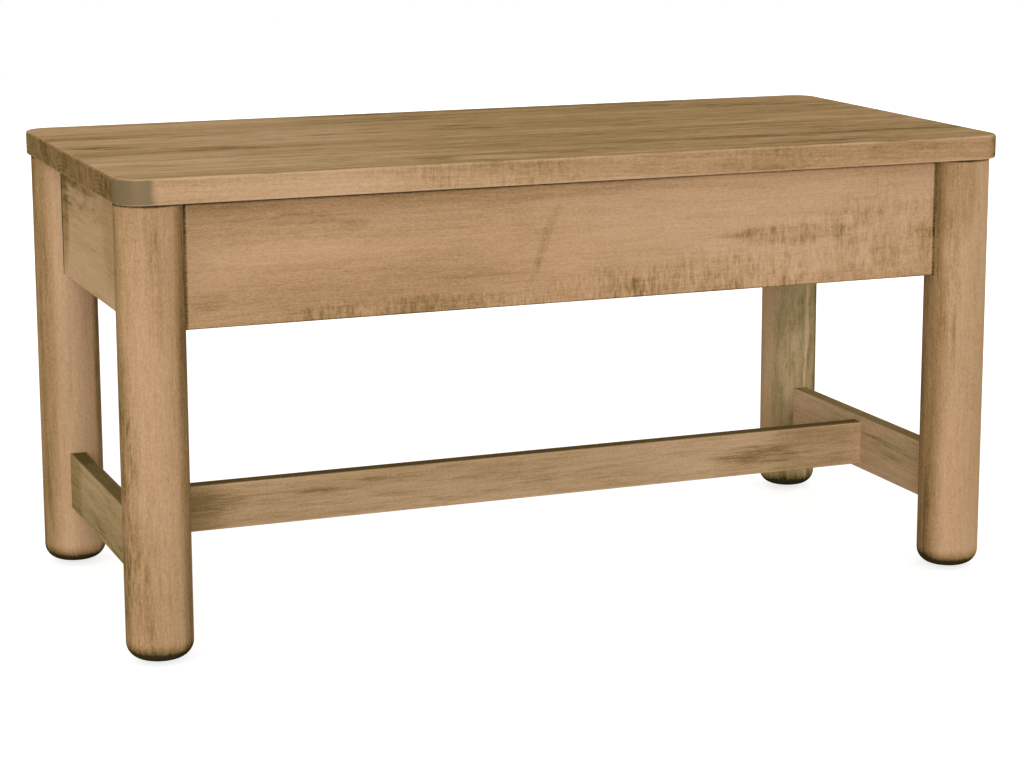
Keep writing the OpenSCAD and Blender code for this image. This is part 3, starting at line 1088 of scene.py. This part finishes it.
def finished(name: str, solid: Solid) -> Mesh:
    """Turns a solid into a mesh, with its points and faces in an order that each run repeats.

    Args:
        name: The mesh's name.
        solid: The solid, which is freed.

    Returns:
        The mesh.
    """
    points = sorted(solid.verts, key=lambda vertex: tuple(vertex.co))
    faces = sorted(solid.faces, key=lambda face: tuple(face.calc_center_median()))
    for sequence, order in ((solid.verts, points), (solid.faces, faces)):
        sequence.sort(key={part: rank for rank, part in enumerate(order)}.get)
    mesh = bpy.data.meshes.new(name)
    solid.to_mesh(mesh)
    solid.free()
    return mesh


def turn(profile: list[Pair], steps: int, closed: bool = False) -> Solid:
    """Turns a profile about the Z axis.

    Args:
        profile: Radius and height of its points. Its ends lie on the axis, unless it is closed.
        steps: Steps round the axis.
        closed: Whether the profile's last point joins its first.

    Returns:
        The closed solid.
    """
    solid = bmesh.new()
    points = [solid.verts.new((radius, 0.0, height)) for radius, height in profile]
    following = points[1:] + points[:1] if closed else points[1:]
    edges = [solid.edges.new(pair) for pair in zip(points, following)]
    bmesh.ops.spin(
        solid, geom=points + edges, axis=(0, 0, 1), cent=(0, 0, 0), angle=math.tau, steps=steps, use_merge=True
    )
    bmesh.ops.remove_doubles(solid, verts=solid.verts, dist=TURN_WELD)
    bmesh.ops.recalc_face_normals(solid, faces=solid.faces)
    return solid


def islands(solid: Solid) -> list[list[Vector]]:
    """Parts a mesh into its separate solids.

    Args:
        solid: The mesh.

    Returns:
        The points of each.
    """
    left = set(solid.verts)
    found = []
    for start in solid.verts:
        if start not in left:
            continue
        left.discard(start)
        island = [start]
        for vertex in island:
            for edge in vertex.link_edges:
                other = edge.other_vert(vertex)
                if other in left:
                    left.discard(other)
                    island.append(other)
        found.append([vertex.co.copy() for vertex in island])
    return found


def placed(points: list[Vector]) -> Matrix:
    """Finds how a round solid lies.

    Args:
        points: Its points. It lies along one of the axes.

    Returns:
        The turn and move that put one made along +Z, from its wider end at the origin, in its place.
    """
    low = Vector(map(min, *points))
    high = Vector(map(max, *points))
    middle = (low + high) / 2
    reach = high - low
    # A glide is wider than it is thick, so its short axis is the one that it was turned about.
    slim = max(reach) > 2 * min(reach) and sorted(reach)[1] < max(reach) / 2
    axis = list(reach).index(max(reach) if slim else min(reach))

    def width(end: float) -> float:
        """How far the solid reaches from its axis at one of its ends."""
        offs = [point - middle for point in points if abs(point[axis] - end) < NEAR]
        return max((Vector(part for a, part in enumerate(off) if a != axis).length for off in offs), default=0.0)

    forward = not slim or width(low[axis]) >= width(high[axis])
    head = middle.copy()
    head[axis] = low[axis] if forward else high[axis]
    along = Vector((0.0, 0.0, 0.0))
    along[axis] = 1.0 if forward else -1.0
    return Matrix.Translation(head) @ along.to_track_quat("Z", "X").to_matrix().to_4x4()


def places(node: str) -> list[Matrix]:
    """Finds where each solid of a node lies, from its CAD shape.

    Args:
        node: A node of round solids, each along one of the axes.

    Returns:
        The place of each, in a steady order.
    """
    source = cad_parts[node]
    solid = bmesh.new()
    solid.from_mesh(source.data)
    bmesh.ops.transform(solid, matrix=source.matrix_world, verts=solid.verts)
    bmesh.ops.remove_doubles(solid, verts=solid.verts, dist=CAD_WELD)
    found = [placed(points) for points in islands(solid)]
    solid.free()
    return sorted(found, key=lambda matrix: tuple(round(part, 4) for part in matrix.translation))


def lay(name: str, made: Mesh, node: str, turned: float) -> bpy.types.Object:
    """Puts a copy of a small part wherever a CAD node has one, as a single piece in the node's stead.

    Args:
        name: The new piece's name.
        made: The small part, made along +Z from its head at the origin.
        node: The CAD node that the piece takes the place of.
        turned: Angle about its own axis between one copy and the next.

    Returns:
        The piece.
    """
    together = bmesh.new()
    count = len(made.vertices)
    for index, matrix in enumerate(places(node)):
        together.from_mesh(made)
        together.verts.ensure_lookup_table()
        bmesh.ops.transform(
            together, matrix=matrix @ Matrix.Rotation(turned * index, 4, "Z"), verts=together.verts[-count:]
        )
    piece = stage_piece(name, finished(name, together))
    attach(piece, BODY)
    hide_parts(node)
    return piece


@dataclass(frozen=True)
class Screws:
    """Countersunk wood screws with a cross recess and a rolled thread."""

    finish: ZincSteel = ZincSteel()
    head_radius: float = 0.0040
    head_edge: float = 0.0001
    rim: float = 0.0003
    head_depth: float = 0.0026
    thread_radius: float = 0.0020
    core_radius: float = 0.00145
    shank_radius: float = 0.0016
    pitch: float = 0.0018
    ridge: float = 0.26
    point: float = 0.0050
    tip: float = 0.0003
    sharpness: float = 0.08
    recess_length: float = 0.0046
    recess_width: float = 0.0009
    recess_depth: float = 0.0019
    recess_narrowing: Pair = (0.35, 0.75)
    cutter_above: float = 0.0005
    steps: int = 20
    rings: int = 8
    turned: float = 2.4
    nodes: tuple[tuple[str, float, float], ...] = (
        ("corner_block_screws", 0.022, 0.004),
        ("top_button_screws", 0.032, 0.012),
        ("cross_rail_screws", 0.032, 0.012),
    )

    def build(self) -> None:
        """Makes the screws of each group and puts them in."""
        for node, length, smooth in self.nodes:
            made = self.screw(node, length, smooth)
            piece = lay(f"detailed_{node}", made, node, self.turned)
            self.finish.dress(piece)
            log.info("screws: %s, %d faces", piece.name, len(piece.data.polygons))

    def screw(self, name: str, length: float, smooth: float) -> Mesh:
        """Makes one screw along +Z, with the flat of its head at the origin.

        Args:
            name: The mesh's name.
            length: Length over all.
            smooth: Length of the plain shank behind the head.

        Returns:
            Its mesh.
        """
        start = self.head_depth + smooth
        stop = length - self.tip
        count = round((stop - start) / self.pitch * self.rings)
        heights = [start + (stop - start) * step / count for step in range(1, count + 1)]
        profile = [
            (0.0, 0.0),
            (self.head_radius - self.head_edge, 0.0),
            (self.head_radius, self.head_edge),
            (self.head_radius, self.rim),
            (self.shank_radius, self.head_depth),
            (self.shank_radius, start),
            *((self.core(length, height), height) for height in heights),
            (0.0, length),
        ]
        solid = turn(profile, self.steps)
        for vertex in solid.verts:
            if start + self.pitch / 2 < vertex.co.z < stop:
                self.raise_thread(vertex, length)
        return self.cut(finished(name, solid), self.recess())

    def core(self, length: float, height: float) -> float:
        """Radius between the threads, at a distance from the head's flat. It narrows towards the point."""
        return self.core_radius * min(1.0, max(self.sharpness, (length - height) / self.point))

    def raise_thread(self, vertex: bmesh.types.BMVert, length: float) -> None:
        """Moves a point of the core out to where the thread passes.

        Args:
            vertex: The point.
            length: Length of the screw.
        """
        around = math.atan2(vertex.co.y, vertex.co.x) / math.tau
        phase = (vertex.co.z / self.pitch - around) % 1.0
        crest = max(0.0, 1.0 - abs(phase - 0.5) / self.ridge)
        narrow = min(1.0, (length - vertex.co.z) / self.point)
        far = (self.thread_radius - self.core_radius) * narrow * crest
        flat = Vector((vertex.co.x, vertex.co.y, 0.0))
        vertex.co += flat.normalized() * far

    def recess(self) -> Mesh:
        """Makes the tool that cuts the cross recess: two tapered blades, joined.

        Returns:
            Its mesh.
        """
        solid = bmesh.new()
        for angle in (0.0, math.pi / 2):
            made = bmesh.ops.create_cube(solid, size=1.0)["verts"]
            for vertex in made:
                deep = vertex.co.z > 0
                vertex.co.x *= self.recess_length * (self.recess_narrowing[0] if deep else 1.0)
                vertex.co.y *= self.recess_width * (self.recess_narrowing[1] if deep else 1.0)
                vertex.co.z = self.recess_depth if deep else -self.cutter_above
            bmesh.ops.transform(solid, matrix=Matrix.Rotation(angle, 4, "Z"), verts=made)
        bmesh.ops.recalc_face_normals(solid, faces=solid.faces)
        return finished("recess", solid)

    @staticmethod
    def cut(mesh: Mesh, tool: Mesh) -> Mesh:
        """Takes a tool's shape out of a mesh.

        Args:
            mesh: What is cut.
            tool: What is taken out.

        Returns:
            The cut mesh.
        """
        whole = stage_piece("whole", mesh)
        cutter = stage_piece("cutter", tool)
        difference = whole.modifiers.new("cut", "BOOLEAN")
        difference.operation = "DIFFERENCE"
        difference.solver = "EXACT"
        difference.use_self = True
        difference.object = cutter
        done = bpy.data.meshes.new_from_object(whole.evaluated_get(bpy.context.evaluated_depsgraph_get()))
        for thing in (whole, cutter):
            bpy.data.objects.remove(thing)
        return done


@dataclass(frozen=True)
class Feet:
    """A plastic glide under each leg, with the nail that holds it."""

    plastic: BrownPlastic = BrownPlastic()
    steel: ZincSteel = ZincSteel()
    radius: float = 0.010
    thick: float = 0.0025
    bend: float = 0.0008
    recess_radius: float = 0.0025
    recess_depth: float = 0.0013
    hole_radius: float = 0.0010
    edge: float = 0.0002
    nail_radius: float = 0.00245
    nail_thick: float = 0.0006
    nail_dome: float = 0.00042
    nail_length: float = 0.018
    nail_point: float = 0.0030
    nail_turned: float = 0.5
    arc_steps: int = 6
    glide_steps: int = 64
    nail_steps: int = 32

    def build(self) -> None:
        """Makes glides and nails and puts them in."""
        glides = lay("moulded_glides", self.glide(), "glides", 0.0)
        self.plastic.dress(glides)
        nails = lay("domed_glide_nails", self.nail(), "glide_nails", self.nail_turned)
        self.steel.dress(nails)
        log.info("feet: %s and %s", glides.name, nails.name)

    def arc(self, middle: Pair, radius: float, start: float) -> list[Pair]:
        """Points of a quarter circle, anticlockwise from an angle in quarters of a turn."""
        angles = [(start + step / self.arc_steps) * math.pi / 2 for step in range(self.arc_steps + 1)]
        return [(middle[0] + radius * math.cos(a), middle[1] + radius * math.sin(a)) for a in angles]

    def glide(self) -> Mesh:
        """Makes a glide, its lower face at the origin.

        Returns:
            Its mesh.
        """
        profile = [
            (self.hole_radius, self.recess_depth),
            (self.recess_radius, self.recess_depth),
            *self.arc((self.recess_radius + self.edge, self.edge), self.edge, 2),
            *self.arc((self.radius - self.bend, self.bend), self.bend, 3),
            *self.arc((self.radius - self.edge, self.thick - self.edge), self.edge, 0),
            (self.hole_radius, self.thick),
        ]
        return finished("glide", turn(profile, self.glide_steps, closed=True))

    def nail(self) -> Mesh:
        """Makes a nail with a domed head, the top of the dome at the origin.

        Returns:
            Its mesh.
        """
        angles = [step / self.arc_steps * math.pi / 2 for step in range(self.arc_steps + 1)]
        profile = [
            *((self.nail_radius * math.sin(a), self.nail_dome * (1 - math.cos(a))) for a in angles),
            (self.nail_radius, self.nail_thick),
            (self.hole_radius, self.nail_thick),
            (self.hole_radius, self.nail_length - self.nail_point),
            (0.0, self.nail_length),
        ]
        return finished("nail", turn(profile, self.nail_steps))


@dataclass(frozen=True)
class Lamp:
    """A square soft light that faces a point."""

    name: str
    place: Triple
    size: float
    power: float
    colour: Colour


@dataclass(frozen=True)
class Studio:
    """White room: floor, lamps, surroundings and camera.

    The camera stands where the photograph's outlines put it. focal is in pixels of the photograph.
    The camera's angles are in degrees: turned from +Y towards +X, and tipped down.
    """

    photo_width: int = 1024
    focal: float = 2629.52
    sensor_width: float = 36.0
    camera_place: Triple = (-1.0849, -2.7698, 0.8531)
    turned: float = 22.229
    tipped: float = 10.841
    shift: Pair = (-0.034, -0.06)
    aim: Triple = (0.0, 0.0, 0.25)
    floor_size: float = 12.0
    floor_drop: float = 0.0004
    floor_colour: Colour = (0.72, 0.72, 0.78)
    floor_roughness: float = 0.9
    floor_glow: float = 0.72
    far_glow: float = 0.25
    far_from: Pair = (0.8, 2.6)
    ambient: float = 0.51
    ambient_colour: Colour = (1.0, 0.985, 0.82)
    white: Colour = (1.0, 1.0, 1.0)
    lamps: tuple[Lamp, ...] = (
        Lamp("key", (-2.6, -9.0, 1.8), 4.0, 415.0, (1.0, 1.0, 1.11)),
        Lamp("left_fill", (-6.0, -1.5, 1.5), 2.5, 48.0, (1.0, 0.97, 0.85)),
        Lamp("right_fill", (6.0, 1.5, 1.5), 2.5, 50.0, (1.0, 0.98, 0.95)),
        Lamp("back_fill", (2.0, 8.0, 1.3), 4.0, 190.0, (1.0, 1.0, 1.0)),
    )

    def build(self) -> None:
        """Sets up everything round the bench."""
        self.set_floor()
        self.set_world()
        for lamp in self.lamps:
            self.hang(lamp)
        self.set_camera()
        bpy.context.scene.view_settings.view_transform = "Standard"
        log.info("studio: floor, %d lamps and camera", len(self.lamps))

    def set_floor(self) -> None:
        """Lays the pale floor, which glows a little where it is looked at and keeps the bench's shadow."""
        sheet = bmesh.new()
        bmesh.ops.create_grid(sheet, x_segments=1, y_segments=1, size=self.floor_size / 2)
        bmesh.ops.translate(sheet, vec=(0.0, 0.0, -self.floor_drop), verts=sheet.verts)
        floor = stage_piece("floor", finished("floor", sheet))
        shader = Shader("floor")
        colour = (*self.floor_colour, 1.0)
        shader.finish(floor, {}, {"Base Color": colour, "Roughness": self.floor_roughness, "Specular IOR Level": 0.0})
        away = shader.node("ShaderNodeVectorMath", {"operation": "LENGTH"}, {0: shader.here})
        far = Value(shader, away.outputs["Value"]).rise(*self.far_from)
        plain = shader.surface.outputs[0]
        glow = shader.node(
            "ShaderNodeEmission", {}, {"Color": (*self.white, 1.0), "Strength": far * self.far_glow + self.floor_glow}
        )
        lit = shader.node("ShaderNodeAddShader", {}, {0: plain, 1: glow.outputs[0]})
        either = shader.node("ShaderNodeMixShader", {}, {0: shader.seen(), 1: plain, 2: lit.outputs[0]})
        shader.tree.links.new(either.outputs[0], shader.output.inputs["Surface"])

    def set_world(self) -> None:
        """Gives the room a soft light from all round, behind a background that is seen as white."""
        world = bpy.data.worlds.new("room")
        bpy.context.scene.world = world
        world.use_nodes = True
        nodes = Nodes(world.node_tree)
        soft, white = (
            nodes.node("ShaderNodeBackground", {}, {"Color": (*colour, 1.0), "Strength": strength}).outputs[0]
            for colour, strength in ((self.ambient_colour, self.ambient), (self.white, 1.0))
        )
        either = nodes.node("ShaderNodeMixShader", {}, {0: nodes.seen(), 1: soft, 2: white})
        nodes.node("ShaderNodeOutputWorld", {}, {"Surface": either.outputs[0]})

    def hang(self, lamp: Lamp) -> None:
        """Hangs one lamp.

        Args:
            lamp: Its place, size and power.
        """
        data = bpy.data.lights.new(lamp.name, "AREA")
        data.shape = "SQUARE"
        data.size = lamp.size
        data.energy = lamp.power
        data.color = lamp.colour
        light = stage_piece(lamp.name, data)
        light.location = lamp.place
        light.rotation_euler = (Vector(self.aim) - Vector(lamp.place)).to_track_quat("-Z", "Y").to_euler()

    def set_camera(self) -> None:
        """Puts the camera where the photograph was taken from."""
        data = bpy.data.cameras.new("camera")
        data.sensor_width = self.sensor_width
        data.lens = self.focal * data.sensor_width / self.photo_width
        data.shift_x, data.shift_y = self.shift
        camera = stage_piece("camera", data)
        camera.location = self.camera_place
        camera.rotation_euler = (math.radians(90 - self.tipped), 0.0, math.radians(-self.turned))
        bpy.context.scene.camera = camera


def main() -> None:
    """Builds the room and then the bench's looks, piece by piece."""
    logging.basicConfig(level=logging.INFO, format="%(message)s")
    for assembly in (Studio(), Top(), Legs(), Aprons(), Stretchers(), Inside(), Screws(), Feet()):
        assembly.build()


if __name__ == "__main__":
    main()
